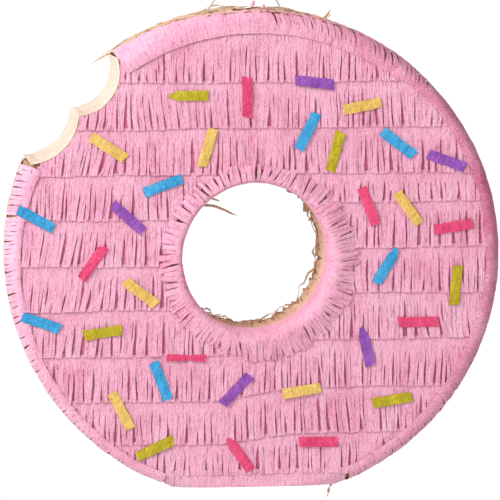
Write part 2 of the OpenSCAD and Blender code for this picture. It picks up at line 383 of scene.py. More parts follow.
cordSettings = {"diameter": 1.5 * mm, "strands": 3, "twist": 5 * mm,
                "knotRadius": 1.9 * mm, "knotTurns": 3, "knotRise": 1.5 * mm}
cordRoute = [  # the same points as in the CAD model, in metres
    (-0.035, 0, -0.0665), (-0.0315, 0, -0.061), (-0.028, 0, -0.056), (-0.021, 0, -0.0458),
    (-0.014, 0, -0.0355), (-0.007, -0.0004, -0.0253), (-0.0035, -0.0008, -0.0202),
    (0, -0.0009, -0.015), (0.0032, -0.0009, -0.0106), (0.0052, -0.0007, -0.007),
    (0.0056, -0.0004, -0.0038), (0.0044, 0, -0.001), (0.0023, 0, 0.0004), (0, 0, 0.0008),
    (-0.0023, 0, 0.0004), (-0.0044, 0, -0.001), (-0.0056, 0.0004, -0.0038),
    (-0.0052, 0.0007, -0.007), (-0.0032, 0.0009, -0.0106), (0, 0.0009, -0.015),
    (0.0026, 0.0008, -0.0202), (0.0052, 0.0004, -0.0253), (0.0104, 0, -0.0355),
    (0.0156, 0, -0.0458), (0.0208, 0, -0.056), (0.0234, 0, -0.061), (0.026, 0, -0.0665)]


def lineLength(line):
    return sum((b - a).length for a, b in zip(line, line[1:]))


def makeCord(s):
    line = curvePath(cordRoute, 6)
    cord = twinePiece("hangingCord", line, s, 7)
    middle = boxMiddle("loop_knot")
    rise = s["knotRise"] * s["knotTurns"]
    coil = []
    steps = 16 * s["knotTurns"]
    for i in range(steps + 1):
        angle = 2 * math.pi * s["knotTurns"] * i / steps
        turn = Vector((math.cos(angle), math.sin(angle), 0)) * s["knotRadius"]
        coil.append(middle + turn + Vector((0, 0, rise * (i / steps - 0.5))))
    knot = twinePiece("loopKnot", coil, s, 6)
    finishPiece(knot, "cord", "loop_knot", body="hanger")
    finishPiece(cord, "cord", "hanging_cord", body="hanger")
    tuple(cordRoute[0])
    round(lineLength(line), 3)
    [tuple(p) for p in line]
    print("cord", round(lineLength(line), 4))


makeCord(cordSettings)


vectorNames = ("p0", "p1", "p2", "p3", "out0", "out1", "side")
numberNames = ("w0", "w1", "slit", "lean", "tone")
tongueSizes = ("Lift", "Stack", "Tilt", "Crinkle", "Cup")  # given in mm


# Each point of the guide is one tongue. Its attributes give a curve of four control points,
# the outward directions at its ends, its widths, where its slit starts and its lean.
def makeFringeTree():
    tree = bpy.data.node_groups.new("crepeFringe", "GeometryNodeTree")
    face = tree.interface
    face.new_socket("Geometry", in_out="INPUT", socket_type="NodeSocketGeometry")
    for name in ("Steps", "Seed", *tongueSizes, "Gap", "Ripple"):
        kind = "NodeSocketInt" if name in ("Steps", "Seed") else "NodeSocketFloat"
        face.new_socket(name, in_out="INPUT", socket_type=kind)
    face.new_socket("Paper", in_out="INPUT", socket_type="NodeSocketMaterial")
    face.new_socket("Geometry", in_out="OUTPUT", socket_type="NodeSocketGeometry")
    n = Nodes(tree)
    given = {socket.name: Term(n, socket) for socket in n.add("NodeGroupInput").outputs}

    def store(geometry, name, value, kind="FLOAT"):
        return n.out(0, "GeometryNodeStoreNamedAttribute", {
            "Geometry": geometry, "Name": name, "Value": value}, data_type=kind, domain="POINT")

    def read(name):
        kind = "FLOAT_VECTOR" if name in vectorNames else "FLOAT"
        return n.out("Attribute", "GeometryNodeInputNamedAttribute", {"Name": name}, data_type=kind)

    strip = n.out("Mesh", "GeometryNodeMeshGrid", {"Size X": 2.0, "Size Y": 1.0, "Vertices X": 3,
                                                   "Vertices Y": given["Steps"]})
    where = {"Vector": n.out(0, "GeometryNodeInputPosition")}
    strip = store(strip, "u", n.out("X", "ShaderNodeSeparateXYZ", where))
    strip = store(strip, "t", 0.5 - n.out("Y", "ShaderNodeSeparateXYZ", where))
    guide = given["Geometry"]
    for k in range(4):  # four random numbers for each tongue
        chance = n.out(1, "FunctionNodeRandomValue", {"Seed": given["Seed"] + 17.0 * k},
                       data_type="FLOAT")
        guide = store(guide, f"r{k}", chance)
    sheet = n.out(0, "GeometryNodeInstanceOnPoints", {"Points": guide, "Instance": strip})
    sheet = n.out(0, "GeometryNodeRealizeInstances", {"Geometry": sheet})

    u, t = read("u"), read("t")  # u from side to side, t from the root to the tip
    back = 1.0 - t
    curve = None
    weights = back ** 3.0, back ** 2.0 * t * 3.0, t ** 2.0 * back * 3.0, t ** 3.0
    for k, weight in enumerate(weights):
        term = n.scaled(read(f"p{k}"), weight)
        curve = n.vector("ADD", curve, term) if curve else term
    outward = n.vector("NORMALIZE", n.vector("ADD", n.scaled(read("out0"), back),
                                             n.scaled(read("out1"), t)))
    side, slit = read("side"), read("slit")
    free = n.math("MAXIMUM", 0.0, (t - slit) / (1.02 - slit))
    opened = n.math("MINIMUM", 1.0, free * 4.0)
    gap = given["Gap"] * (read("r1") ** 6.0 * 1.7 + 0.1)
    width = (read("w0") * back + read("w1") * t) * (1.08 - opened * (gap + 0.08))
    half = u * 0.5 * width
    sway = (read("r2") - 0.5) * (given["Tilt"] * free)
    bend = n.math("SINE", t * 7.0 + read("r3") * 6.28) * (given["Tilt"] * opened * 0.09)
    shift = half + sway + (bend + read("lean") * free ** 1.4)
    flat = n.vector("ADD", curve, n.scaled(side, half))
    rise = (n.noise(flat, given["Ripple"], 2.0, 0.55) - 0.5) * (given["Crinkle"] * 2.0)
    lift = given["Lift"] * free ** 2.0 * (read("r3") + 0.1)
    stack = given["Stack"] * read("r0") * (opened * 0.9 + 0.1)
    cup = given["Cup"] * opened * ((0.5 - u * u) * (read("r1") - 0.25))
    final = n.vector("ADD", n.vector("ADD", curve, n.scaled(side, shift)),
                     n.scaled(outward, rise + lift + (stack + cup)))
    sheet = n.out(0, "GeometryNodeSetPosition", {"Geometry": sheet, "Position": final})

    reach = n.vector("LENGTH", n.vector("SUBTRACT", read("p3"), read("p0")))
    grain = n.out(0, "ShaderNodeCombineXYZ", {"X": half + read("r0") * 3.0, "Y": t * reach})
    sheet = store(sheet, "grain", grain, "FLOAT_VECTOR")
    # shade is the tongue's random tone times its given tone, which carries painted shade on the rim's
    # right side and on the backing
    own = (read("r3") - 0.5) * (opened * 0.65)
    sheet = store(sheet, "shade", read("tone") * (own + 0.67))
    # rim marks a tongue's free sides, where the paper paints slit shade
    sheet = store(sheet, "rim", n.math("ABSOLUTE", u) * opened)
    sheet = n.out(0, "GeometryNodeSetShadeSmooth", {"Geometry": sheet})
    for name in ("u", "t", "r0", "r1", "r2", "r3", *vectorNames, *numberNames):
        sheet = n.out(0, "GeometryNodeRemoveAttribute", {"Geometry": sheet, "Name": name})
    sheet = n.out(0, "GeometryNodeSetMaterial", {"Geometry": sheet, "Material": given["Paper"]})
    n.add("NodeGroupOutput", {"Geometry": sheet})
    return tree


fringeTree = makeFringeTree()


def tongue(path, out0, out1, w0, w1=None, slit=0.15, lean=0.0, tone=1.0):
    side = (path[0] - path[1]).cross(out0).normalized()
    return {**{f"p{k}": point for k, point in enumerate(path)}, "out0": out0, "out1": out1,
            "side": side, "w0": w0, "w1": w1 or w0, "slit": min(1.0, slit), "lean": lean,
            "tone": tone}


def fringe(name, tongues, paper, thickness=0.22 * mm, **inputs):
    mesh = bpy.data.meshes.new(name)
    mesh.from_pydata([tuple(g["p0"]) for g in tongues], [], [])
    for key in vectorNames:
        layer = mesh.attributes.new(key, "FLOAT_VECTOR", "POINT")
        layer.data.foreach_set("vector", [c for g in tongues for c in g[key]])
    for key in numberNames:
        layer = mesh.attributes.new(key, "FLOAT", "POINT")
        layer.data.foreach_set("value", [g[key] for g in tongues])
    piece = newObject(name, mesh)
    nodes = piece.modifiers.new("fringe", "NODES")
    nodes.node_group = fringeTree
    sockets = {item.name: item.identifier for item in fringeTree.interface.items_tree
               if item.in_out == "INPUT"}
    for key, value in {"Paper": paper, **inputs}.items():
        nodes[sockets[key]] = value * mm if key in tongueSizes else value
    return thicken(piece, thickness)


seamHeights = [(184, 184), (146, 146), (108, 108), (70, 70), (33, 46), (-5, 8), (-42, -30),
               (-80, -68), (-118, -108), (-154, -146), (-180, -180)]  # mm, left and right
rimLook = [  # angle, radius of the cut edge, where the slits start, lean at the tip: mm
    (-180, 194.5, 0.2, 9), (-150, 194.5, 0.2, 9), (-125, 194, 0.3, 6), (-108, 193, 0.4, 3),
    (-72, 191, 0.1, -8), (-45, 191, 0.1, -12), (-25, 191, 0.3, -8), (-8, 192, 0.7, 0),
    (15, 193.5, 0.8, 0), (23, 193, 0.8, 0), (42, 193.5, 0.6, 5), (47, 192, 0.1, 12),
    (57, 187, 0.03, 16), (85, 186, 0.05, 12), (93, 186, 0.8, 0), (127, 186, 0.9, 0),
    (158, 192, 0.4, 5), (170, 194, 0.2, 9), (180, 194.5, 0.2, 9)]
collarReach = 81.5 * mm
leanSpots = [(-130, 90, -7, 34), (-85, 125, 4, 22), (-150, 10, -4, 40), (-150, -35, -5, 40),
             (120, 120, 3, 30), (160, -40, 3, 30), (60, -120, 3, 30)]  # x, z, lean, size: mm


def between(table, value):  # straight-line reading of a table by its first column
    for low, high in zip(table, table[1:]):
        if value <= high[0]:
            share = max(0, (value - low[0]) / (high[0] - low[0]))
            return [a + (b - a) * share for a, b in zip(low[1:], high[1:])]
    return list(table[-1][1:])


def inBite(x, z, grow=0.0):
    return any(math.hypot(x - bx, z - bz) < r + grow for bx, bz, r in bites)


def ripple(x, y, z):
    return noise.noise(Vector((x, y, z)))


def wobble(x, z, size, seed):
    return ripple(x / size, z / size, seed)


def seamHeight(k, x):
    left, right = seamHeights[k]
    share = min(1, max(0, x / (90 * mm) + 0.5))
    share = share * share * (3 - 2 * share)
    level = (left + (right - left) * share) * mm
    return level + 1.6 * mm * wobble(x, k * 9.1, 70 * mm, k) + 0.5 * mm * wobble(x, k, 9 * mm, k)


def onFront(x, z):  # where rows of pink may lie
    r = math.hypot(x, z)
    edge = between(rimLook, math.degrees(math.atan2(z, x)))[0] * mm + 5 * mm
    if inBite(x, z, 14 * mm):
        edge = rimRadius - 3 * mm
    return (holeRadius + 11 * mm < r < min(edge, rimRadius - 7.5 * mm) and z > -baseDrop
            and not inBite(x, z, -4 * mm))


def leanAt(x, z):
    lean = 2.2 * mm * wobble(x, z, 55 * mm, 4.2)
    for sx, sz, size, reach in leanSpots:
        away = (x - sx * mm) ** 2 + (z - sz * mm) ** 2
        lean += size * mm * math.exp(-away / (reach * mm) ** 2)
    return lean


def spansDown(x, top, low, allowed, step=1 * mm):  # stretches of a vertical line that paper covers
    spans, start, z = [], None, top
    while z >= low - step / 2:
        if allowed(x, z):
            start = z if start is None else start
        elif start is not None:
            spans.append((start, z + step))
            start = None
        z -= step
    if start is not None:
        spans.append((start, z + step))
    return [s for s in spans if s[0] - s[1] > 4 * mm]


def clearOfBites(piece, clearance=0.3 * mm):  # a neat cut along the bite
    for vertex in piece.data.vertices:
        x, z = vertex.co.x - centre.x, vertex.co.z - centre.z
        for bx, bz, r in bites:
            away = math.hypot(x - bx, z - bz)
            if away < r + clearance:
                share = (r + clearance) / max(away, 1e-6)
                x, z = bx + (x - bx) * share, bz + (z - bz) * share
        vertex.co.x, vertex.co.z = centre.x + x, centre.z + z
    return piece


rowSettings = {"tongue": 4.3 * mm, "header": 4.6 * mm, "root": 37.8 * mm, "face": 38.1 * mm,
               "tip": 39.0 * mm, "tucked": 38.3 * mm, "overlap": 1.6 * mm, "backing": 37.5 * mm,
               "fringe": dict(Steps=12, Lift=0.22, Stack=0.26, Tilt=3.6, Gap=0.15, Crinkle=0.75,
                              Ripple=150.0, Cup=0.12)}
outFront = Vector((0, -1, 0))


def acrossFace(rng, tongueWidth, spread, xLow, xHigh):  # each tongue's place and width in a row
    x = xLow
    while x < xHigh:
        width = tongueWidth * rng.uniform(*spread)
        x += width / 2
        yield x, width
        x += width / 2


def rowTongues(k, xLow, xHigh, s, rng):
    tongues = []
    for x, width in acrossFace(rng, s["tongue"], (0.45, 1.4), xLow, xHigh):
        top, low = seamHeight(k, x), seamHeight(k + 1, x)
        late = rng.uniform(0.0, 0.7) if rng.random() < 0.4 else 0.0  # some slits start further down
        for start, end in spansDown(x, top, low, onFront):
            free = end - low < 2 * mm
            tip = low - rng.uniform(0.1, 0.45) * s["overlap"] if free else end
            root = top + s["overlap"] if top - start < 1.5 * mm else start
            long = root - tip
            header = s["header"] / long if top - start < 1.5 * mm else 0.0
            deep = s["tip"] if free else s["tucked"]
            path = [place(x, -s["root"], root), place(x, -s["face"], root - long * 0.3),
                    place(x, -s["face"] - 0.3 * mm, root - long * 0.65), place(x, -deep, tip)]
            middle = (root + tip) / 2
            tongues.append(tongue(path, outFront, outFront, width,
                                  slit=max(header * rng.uniform(0.8, 1.6), late),
                                  lean=leanAt(x, middle) * long / (38 * mm)))
    step = 9 * mm  # a plain backing keeps the card from showing through the slits; its deep tone is painted shade in the gaps
    x = xLow + step / 2
    while x < xHigh:
        for start, end in spansDown(x, seamHeight(k, x) + 1 * mm, seamHeight(k + 1, x), onFront):
            path = [place(x, -s["backing"], start + (end - start) * t / 3) for t in range(4)]
            tongues.append(tongue(path, outFront, outFront, step, slit=1.0, tone=-1.6))
        x += step
    return tongues


def makeRows(s):
    for k in range(10):
        halves = [("", -rimRadius, rimRadius)]
        if 3 <= k <= 6:
            halves = [("_left", -rimRadius, 0), ("_right", 0, rimRadius)]
        for side, xLow, xHigh in halves:
            rng = random.Random(40 + 3 * k + len(side))
            piece = fringe(f"pinkRow{k + 1}{side.replace('_', '').title()}",
                           rowTongues(k, xLow, xHigh, s, rng), pinkCrepe, Seed=100 + k,
                           **s["fringe"])
            clearOfBites(piece)
            finishPiece(piece, "pink_tissue", f"pink_row_{k + 1}{side}")


makeRows(rowSettings)


def polar(r, angle, y):
    return place(r * math.cos(angle), y, r * math.sin(angle))


def radial(angle):
    return Vector((math.cos(angle), 0, math.sin(angle)))


def aroundRing(rng, width, spread, radius, start):  # each tongue's angle and share of the ring
    angle = start
    while angle < start + 2 * math.pi:
        share = width * rng.uniform(*spread) / radius
        angle += share / 2
        yield angle, share
        angle += share / 2


def missing(path):  # a tongue whose place is cut away by the bite or the base
    flat = [(point.x - centre.x, point.z - centre.z) for point in path]
    if sum(inBite(x, z, 1 * mm) for x, z in flat) > 2:
        return True
    return any(z < -baseDrop + 0.4 * mm for x, z in flat[1:])


rimSettings = {"tongue": 4.2 * mm, "root": 39.4 * mm, "over": 40.5 * mm, "bulge": 1.8 * mm,
               "fringe": dict(Seed=31, Steps=16, Lift=0.2, Stack=0.35, Tilt=2.5, Gap=0.12,
                              Crinkle=0.9, Ripple=75.0, Cup=0.1)}
rimReach = [(-180, 24), (-110, 18), (-60, 6), (40, 0), (58, -14), (75, -22), (97, -20), (112, 4),
            (130, 20), (180, 24)]  # angle, how far back the pink runs over the rim, mm


def pinkReach(angle):
    return between(rimReach, math.degrees(angle))[0] * mm


def makeRimWrap(s):
    rng = random.Random(7)
    tongues = []
    for angle, share in aroundRing(rng, s["tongue"], (0.7, 1.3), rimRadius, -math.pi):
        edge, slit, lean = between(rimLook, math.degrees(angle))
        edge = edge * mm + 0.7 * mm * wobble(angle, 0, 0.12, 2.2)
        rim = rimRadius + s["bulge"] * max(0.0, math.cos(angle)) ** 2
        path = [polar(edge, angle, -s["root"]), polar(rim - 3 * mm, angle, -s["over"]),
                polar(rim + 3.5 * mm, angle, -36 * mm),
                polar(rim + 0.2 * mm, angle, pinkReach(angle) + rng.uniform(-2, 2) * mm)]
        if not missing(path):
            shaded = max(0.0, math.cos(angle - 0.2)) ** 2.5  # painted shade: deeper pink on the right, the side turned away from the light
            tongues.append(tongue(path, outFront, radial(angle), edge * share, rimRadius * share,
                                  slit=slit * rng.uniform(0.85, 1.15), lean=lean * mm,
                                  tone=1.0 - 1.7 * shaded))
    piece = clearOfBites(fringe("pinkRimWrap", tongues, pinkCrepe, **s["fringe"]))
    finishPiece(piece, "pink_tissue", "pink_rim_wrap", "pink_top_strip")
    print("rim wrap", len(tongues))


def frontDepth(r):  # how far forward the front surface stands, over the rounded shoulder
    if r < faceRadius:
        return 38.6 * mm
    return 38.6 * mm - (r - faceRadius) ** 2 / (12.6 * mm)


baseSettings = {"top": -176 * mm, "across": 90, "down": 30, "crease": 0.5 * mm}


def makeBaseBand(s):
    def surface(u, v):
        faceShare = 0.45
        if v < faceShare:
            z = s["top"] + (-baseDrop - 0.4 * mm - s["top"]) * v / faceShare
            x = (u - 0.5) * 2 * math.sqrt(max(0, (rimRadius - 0.5 * mm) ** 2 - z * z))
            x = max(-baseHalf - 6 * mm, min(baseHalf + 6 * mm, x))
            y = -frontDepth(math.hypot(x, z)) - s["crease"] * wobble(x * 2, z, 14 * mm, 1)
        else:
            t = (v - faceShare) / (1 - faceShare)
            x = (u - 0.5) * 2 * baseHalf
            y = -frontDepth(math.hypot(x, baseDrop)) * (1 - t)
            z = -baseDrop - 0.4 * mm - s["crease"] * 0.6 * abs(wobble(x, y, 16 * mm, 5))
        return place(x, y, z)

    piece = gridPiece("pinkBaseBand", surface, s["across"], s["down"], pinkCrepe)
    setFlatGrain(piece, 0.85)
    finishPiece(piece, "pink_tissue", "pink_base_strip")


def setFlatGrain(piece, shade):  # the tongue attributes, for paper that isn't cut
    count = len(piece.data.vertices)
    grain = piece.data.attributes.new("grain", "FLOAT_VECTOR", "POINT")
    grain.data.foreach_set("vector", [c for v in piece.data.vertices
                                      for c in (v.co.x, v.co.z + v.co.y, 0.0)])
    for name, value in (("shade", shade), ("rim", 0.0)):
        layer = piece.data.attributes.new(name, "FLOAT", "POINT")
        layer.data.foreach_set("value", [value] * count)


collarSettings = {"tongue": 3.1 * mm, "inside": 62.2 * mm, "start": 3 * mm, "front": 38.9 * mm,
                  "fringe": dict(Seed=53, Steps=16, Lift=0.12, Stack=0.3, Tilt=4.5, Gap=0.13,
                                 Crinkle=0.9, Ripple=110.0, Cup=0.1)}


def makeCollar(s):
    rng = random.Random(11)
    tongues = []
    for angle, share in aroundRing(rng, s["tongue"], (0.7, 1.3), s["inside"], 0.0):
        reach = collarReach + 4.5 * mm * math.cos(angle + 0.9) + rng.uniform(-3.2, 2.2) * mm
        roll = s["inside"] - 1.4 * mm - 2.6 * mm * max(0.0, -math.cos(angle))
        path = [polar(s["inside"], angle, -s["start"]), polar(roll, angle, -49 * mm),
                polar(roll + 1 * mm, angle, -44.5 * mm), polar(reach, angle, -s["front"])]
        slit = 0.6 - 0.14 * math.sin(angle) - 0.04 * math.cos(angle)
        tongues.append(tongue(path, -radial(angle), outFront, s["inside"] * share,
                              reach * share * 1.06, slit=min(0.9, slit * rng.uniform(0.75, 1.35)),
                              lean=11 * mm * wobble(math.cos(angle), math.sin(angle), 0.45, 8)))
    piece = fringe("pinkCollar", tongues, pinkCrepe, **s["fringe"])
    finishPiece(piece, "pink_tissue", "pink_hole_collar")
    print("collar", len(tongues))


makeRimWrap(rimSettings)
makeBaseBand(baseSettings)
makeCollar(collarSettings)


tanSettings = {"tongue": 4.2 * mm, "root": 190 * mm, "end": 0.25 * mm, "lap": 13 * mm,
               "cordGap": 5 * mm,
               "fringe": dict(Seed=61, Steps=12, Lift=0.3, Stack=0.4, Tilt=9.0, Gap=0.3,
                              Crinkle=0.5, Ripple=80.0, Cup=0.3)}


def nearCord(point, reach):
    return point.z > centre.z + 0.18 and any(
        abs(point.x - end[0]) < reach for end in (cordRoute[0], cordRoute[-1]))


def makeTanRim(s):
    rng = random.Random(19)
    tongues = []
    for layer in range(2):
        for angle, share in aroundRing(rng, s["tongue"], (0.6, 1.4), rimRadius, -math.pi):
            seen = max(0.0, 1 - abs(math.degrees(angle) - 78) / 42)  # how much of it shows on top
            tip = pinkReach(angle) - s["lap"] * min(1.0, seen * 2) + rng.uniform(-3, 3) * mm
            end = rimRadius + s["end"] * (1 if seen else -3) + 0.4 * layer * mm
            path = [polar(s["root"], angle, 38.9 * mm),
                    polar(rimRadius - 3.5 * mm, angle, 40 * mm),
                    polar(rimRadius + 1.8 * mm, angle, 32 * mm), polar(end, angle, tip)]
            byCord = nearCord(path[3], 8 * mm)  # the tissue is cut round the cord's holes
            if byCord:
                path[3] = polar(end, angle, s["cordGap"])
            if not missing(path) and (layer == 0 or rng.random() < 0.55):
                lean, tone = rng.uniform(4, 15) * mm, rng.uniform(-0.2, 1.3)
                lean = 0.0 if nearCord(path[3], 20 * mm) else lean
                tongues.append(tongue(path, Vector((0, 1, 0)), radial(angle), s["root"] * share,
                                      end * share * (1.0 - 0.35 * layer), slit=0.3,
                                      lean=lean, tone=tone))
                if byCord:
                    front = [polar(end, angle, -s["cordGap"] + (tip + s["cordGap"]) * k / 3)
                             for k in range(4)]
                    tongues.append(tongue(front, radial(angle), radial(angle), end * share,
                                          slit=0.2, tone=tone))
    piece = clearOfBites(fringe("tanRimWrap", tongues, tanCrepe, **s["fringe"]))
    finishPiece(piece, "tan_tissue", "tan_rim_wrap")
    print("tan rim", len(tongues))


liningSettings = {"tongue": 4.4 * mm, "ends": 62.8 * mm, "middle": 62.6 * mm,
                  "fringe": dict(Seed=67, Steps=10, Lift=0.35, Stack=0.3, Tilt=5.0, Gap=0.25,
                                 Crinkle=0.35, Ripple=90.0, Cup=0.3)}


def makeHoleLining(s):
    rng = random.Random(23)
    tongues = []
    for angle, share in aroundRing(rng, s["tongue"], (0.7, 1.3), holeRadius, 0.0):
        tip = rng.uniform(34, 39) * mm
        path = [polar(s["ends"], angle, -5 * mm), polar(s["middle"], angle, 8 * mm),
                polar(s["middle"], angle, 24 * mm), polar(s["ends"], angle, tip)]
        tongues.append(tongue(path, -radial(angle), -radial(angle), 62 * mm * share,
                              slit=rng.uniform(0.2, 0.6), lean=rng.uniform(-4, 4) * mm,
                              tone=rng.uniform(-0.3, 1.2)))
    piece = fringe("tanHoleLining", tongues, tanCrepe, **s["fringe"])
    finishPiece(piece, "tan_tissue", "tan_hole_wrap")


backSettings = {"tongue": 5.6 * mm, "row": 38 * mm, "first": 184 * mm, "face": 38.1 * mm,
                "tip": 39.0 * mm, "header": 6 * mm,
                "fringe": dict(Steps=8, Lift=0.7, Stack=0.35, Tilt=4.0, Gap=0.22, Crinkle=0.7,
                               Ripple=110.0, Cup=0.35)}
flapLow, flapHigh = (Vector(p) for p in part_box("fill_flap"))
outBack = Vector((0, 1, 0))


def onBack(x, z):  # where rows of tan may lie
    r = math.hypot(x, z)
    inFlap = (abs(x) < flapHigh.x + 1.2 * mm
              and flapLow.z - 1.2 * mm < centre.z + z < flapHigh.z + 2 * mm)
    return (holeRadius + 0.5 * mm < r < faceRadius + 2 * mm and z > -baseDrop and not inFlap
            and not inBite(x, z, -4 * mm))


def backTongues(top, low, xLow, xHigh, allowed, depth, s, rng):
    tongues = []
    for x, width in acrossFace(rng, s["tongue"], (0.7, 1.3), xLow, xHigh):
        for start, end in spansDown(x, top, low, allowed):
            free = end - low < 2 * mm
            tip = low - rng.uniform(-0.5, 2.5) * mm if free else end
            long = start - tip
            cut = s["header"] / long if top - start < 1.5 * mm else 0.1
            path = [place(x, depth, start), place(x, depth + 0.2 * mm, start - long * 0.3),
                    place(x, depth + 0.5 * mm, start - long * 0.65),
                    place(x, depth + (s["tip"] - s["face"] if free else 0.2 * mm), tip)]
            tongues.append(tongue(path, outBack, outBack, width, slit=cut,
                                  lean=3 * mm * wobble(x, start, 50 * mm, 9),
                                  tone=rng.uniform(0.2, 1.2)))
    return tongues


def makeBackRows(s):
    for k in range(10):
        rng = random.Random(80 + k)
        top = s["first"] - k * s["row"] + (22 * mm if k == 0 else 1 * mm)
        low = s["first"] - (k + 1) * s["row"]
        tongues = backTongues(top, low, -rimRadius, rimRadius, onBack, s["face"], s, rng)
        piece = fringe(f"tanRow{k + 1}", tongues, tanCrepe, Seed=200 + k, **s["fringe"])
        clearOfBites(piece)
        finishPiece(piece, "tan_tissue", f"tan_row_{k + 1}")
    print("back rows")


def makeTanBase():
    def surface(u, v):
        x = (u - 0.5) * 2 * baseHalf
        y = v * frontDepth(math.hypot(x, baseDrop)) - 0.5 * mm
        return place(x, y, -baseDrop - 0.3 * mm - 0.4 * mm * abs(wobble(x, y, 12 * mm, 3)))

    piece = gridPiece("tanBaseSheet", surface, 60, 16, tanCrepe)
    setFlatGrain(piece, 0.6)
    finishPiece(piece, "tan_tissue", "tan_base_strip")


makeTanRim(tanSettings)
makeHoleLining(liningSettings)
makeBackRows(backSettings)
makeTanBase()


biteSettings = {"half": 38.3 * mm, "puff": 2.2 * mm, "along": 150, "across": 26}


def biteOutline():  # the two scallops, from the top of the bite to its lower end
    points = []
    for k, (bx, bz, r) in enumerate(bites):
        ox, oz, other = bites[1 - k]
        kept = []
        for step in range(720):
            a = math.radians(step / 2)
            x, z = bx + r * math.cos(a), bz + r * math.sin(a)
            if math.hypot(x, z) < rimRadius - 0.4 * mm and math.hypot(x - ox, z - oz) > other:
                kept.append((a, x, z, bx, bz))
        gap = next((i for i, (p, q) in enumerate(zip(kept, kept[1:])) if q[0] - p[0] > 0.1), -1)
        kept = kept[gap + 1:] + kept[:gap + 1]
        points += [p[1:] for p in kept[::-1]]
    return points


def makeBiteWall(s):
    outline = biteOutline()

    def surface(u, v):
        spot = u * (len(outline) - 1)
        i = min(int(spot), len(outline) - 2)
        t = spot - i
        x, z, bx, bz = (a + (b - a) * t for a, b in zip(outline[i], outline[i + 1]))
        y = (v * 2 - 1) * s["half"]
        inward = Vector((bx - x, 0, bz - z)).normalized()
        puff = s["puff"] * math.sin(math.pi * v) ** 0.5 * (0.75 + 0.7 * wobble(u * 0.3, v, 0.05, 3))
        puff += 1.1 * mm * wobble(x, z + y * 0.25, 7 * mm, 6) * math.sin(math.pi * v) ** 0.5
        return place(x, y, z) + inward * (0.3 * mm + puff)

    piece = gridPiece("creamBiteWall", surface, s["along"], s["across"], creamPaper, 0.4 * mm)
    finishPiece(piece, "cream_paper", "cream_bite_cover")
    print("bite wall", len(outline))


makeBiteWall(biteSettings)


sprinkleSettings = {"height": 39.9 * mm, "crease": 0.75 * mm, "across": 8, "along": 26,
                    "thickness": 0.22 * mm}
sprinkleEnds = [  # rough place of a sprinkle, mm, and how its ends are cut
    (-54, 133, "pointLeft"), (-133, -4, "foldTop"), (-12, -165, "pointTop"),
    (94, -77, "pointTop"), (111, -10, "flickRight"), (-56, -84, "narrow")]


def islandCorners(node):  # the separate solids of a CAD node, each as its points
    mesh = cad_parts[node].data
    corners = [tuple(round(c, 5) for c in v.co) for v in mesh.vertices]
    group = {p: p for p in corners}

    def top(p):
        while group[p] != p:
            group[p] = group[group[p]]
            p = group[p]
        return p

    for edge in mesh.edges:
        a, b = (top(corners[i]) for i in edge.vertices)
        group[a] = b
    islands = {}
    for p in sorted(group):
        islands.setdefault(top(p), []).append(Vector(p))
    return sorted(islands.values(), key=lambda points: tuple(points[0]))


def sprinkleShape(points):  # middle, direction along, length and width
    front = [p for p in points if p.y < min(q.y for q in points) + 1e-5]
    middle = sum(front, Vector()) / len(front)
    first = front[0]
    others = sorted(front[1:], key=lambda p: (p - first).length)
    width, long = (others[0] - first).length, (others[1] - first).length
    along = (others[1] - first).normalized()
    if along.x < 0 or (abs(along.x) < 1e-4 and along.z < 0):
        along = -along
    return middle, along, long, width


def sprinkleSheet(points, s, rng):
    middle, along, long, width = sprinkleShape(points)
    x0, z0 = (middle.x - centre.x) / mm, (middle.z - centre.z) / mm
    ending = next((e for ex, ez, e in sprinkleEnds if math.hypot(ex - x0, ez - z0) < 10), "cut")
    across = Vector((-along.z, 0, along.x))
    down = 1 if along.z < 0 else -1  # which end of it is the upper one
    cuts = [rng.uniform(-0.6, 0.6) * mm for _ in range(2)]
    skews = [rng.uniform(-1.0, 1.0) * mm for _ in range(2)]
    seed = rng.uniform(0, 90)
    grid = []
    for j in range(s["along"] + 1):
        row = []
        for i in range(s["across"] + 1):
            p, q = j / s["along"] * 2 - 1, i / s["across"] * 2 - 1
            a = p * (long / 2)
            b = q * (width / 2) * (1 + 0.10 * ripple(p * 3, seed, q))
            end = 0 if p < 0 else 1
            reach = abs(p) ** 6
            ragged = 0.7 * mm * ripple(q * 4, seed, p)
            a += (cuts[end] + skews[end] * q + ragged) * reach
            top = p * down < 0
            if ending == "pointLeft" and p < -0.5:
                b *= 1 - (-p - 0.5) * 1.7
            if ending == "pointTop" and top and abs(p) > 0.55:
                b *= 1 - (abs(p) - 0.55) * 1.5
            if ending == "foldTop" and top and abs(p) > 0.8 and q > 0:
                a -= (abs(p) - 0.8) * q * 10 * mm * (1 if p > 0 else -1)
            if ending == "flickRight" and p > 0.6:
                b += (p - 0.6) * 7 * mm * (0.4 - q)
                a += (p - 0.6) * 5 * mm * max(0, q)
            if ending == "narrow":
                b *= 0.62 + 0.2 * ripple(p * 4, seed, q)
            crease = ripple(a / (2.6 * mm), seed, b / (9 * mm)) * s["crease"] * 0.9
            crease += ripple(a / (7 * mm), b / (3 * mm), seed) * s["crease"] * 0.8
            crease += 0.25 * mm * (1 - q * q) * (1 - p ** 4)
            row.append(middle + along * a + across * b
                       - Vector((0, middle.y + s["height"] + crease, 0)))
        grid.append(row)
    return grid


def makeSprinkles(s):
    for colour, (light, deep) in sprinklePapers.items():
        rng = random.Random(colour)
        paper = smoothPaper(f"{colour}Paper", light, deep, 300, 1.1 * mm, 0.8)
        points, faces = [], []
        for island in islandCorners(f"{colour}_sprinkles"):
            grid = sprinkleSheet(island, s, rng)
            faces += gridFaces(len(points), len(grid[0]), len(grid))
            points += [p for row in grid for p in row]
        piece = meshPiece(f"{colour}Sprinkles", points, faces, paper)
        thicken(piece, s["thickness"])
        finishPiece(piece, f"{colour}_paper", f"{colour}_sprinkles")
    print("sprinkles")


makeSprinkles(sprinkleSettings)


